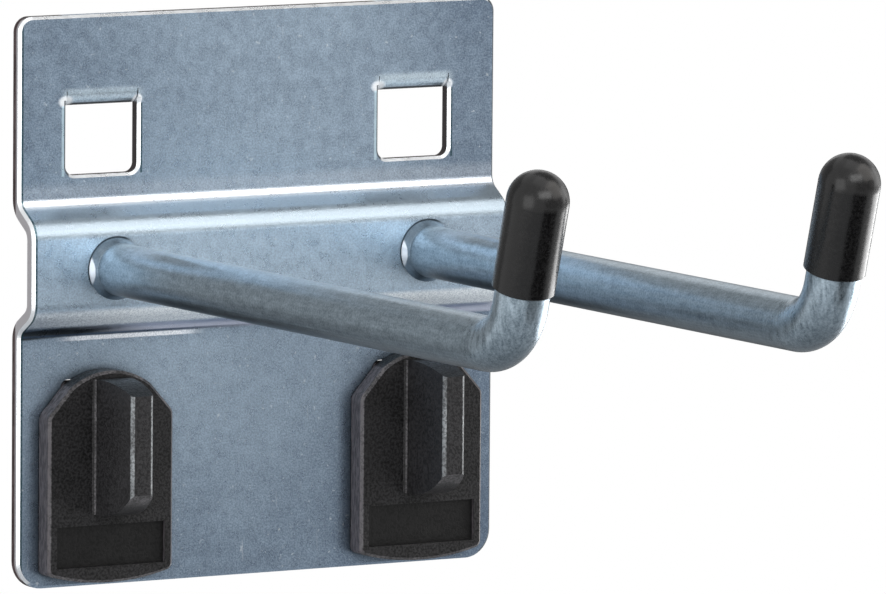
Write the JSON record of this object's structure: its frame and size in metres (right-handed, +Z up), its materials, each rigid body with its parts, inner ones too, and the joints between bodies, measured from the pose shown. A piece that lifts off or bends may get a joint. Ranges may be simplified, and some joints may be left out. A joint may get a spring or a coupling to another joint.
{
  "type": "double pegboard hook",
  "caption": "Folded steel plate with two welded, capped hook rods; lanced tabs hang it on a square-hole tool panel and pull-out plastic clips lock it.",
  "frame": {"origin": "on the panel's face, midway between the centres of the two upper panel holes that the tabs hang in", "axes": "+Z up, +Y into the panel, -Y out along the hook rods, +X to the right seen from the front"},
  "size_m": [0.058, 0.0969, 0.0605],
  "materials": {
    "zinc_plate": "bright zinc plating on rolled sheet",
    "zinc_rod": "bright zinc plating on drawn rod",
    "cap": "glossy black vinyl",
    "clip": "near-black moulded plastic, fine matte grain"
  },
  "bodies": {
    "bracket": {"back_plate": "zinc_plate", "left_hook_rod": "zinc_rod", "right_hook_rod": "zinc_rod", "left_cap": "cap", "right_cap": "cap"},
    "left_lock": {"left_clip": "clip"},
    "right_lock": {"right_clip": "clip"}
  },
  "joints": [
    {"name": "left_clip_slide", "type": "slide", "parent": "bracket", "child": "left_lock", "axis": [0, -1, 0], "range_m": [0, 0.006]},
    {"name": "right_clip_slide", "type": "slide", "parent": "bracket", "child": "right_lock", "axis": [0, -1, 0], "range_m": [0, 0.006]}
  ]
}
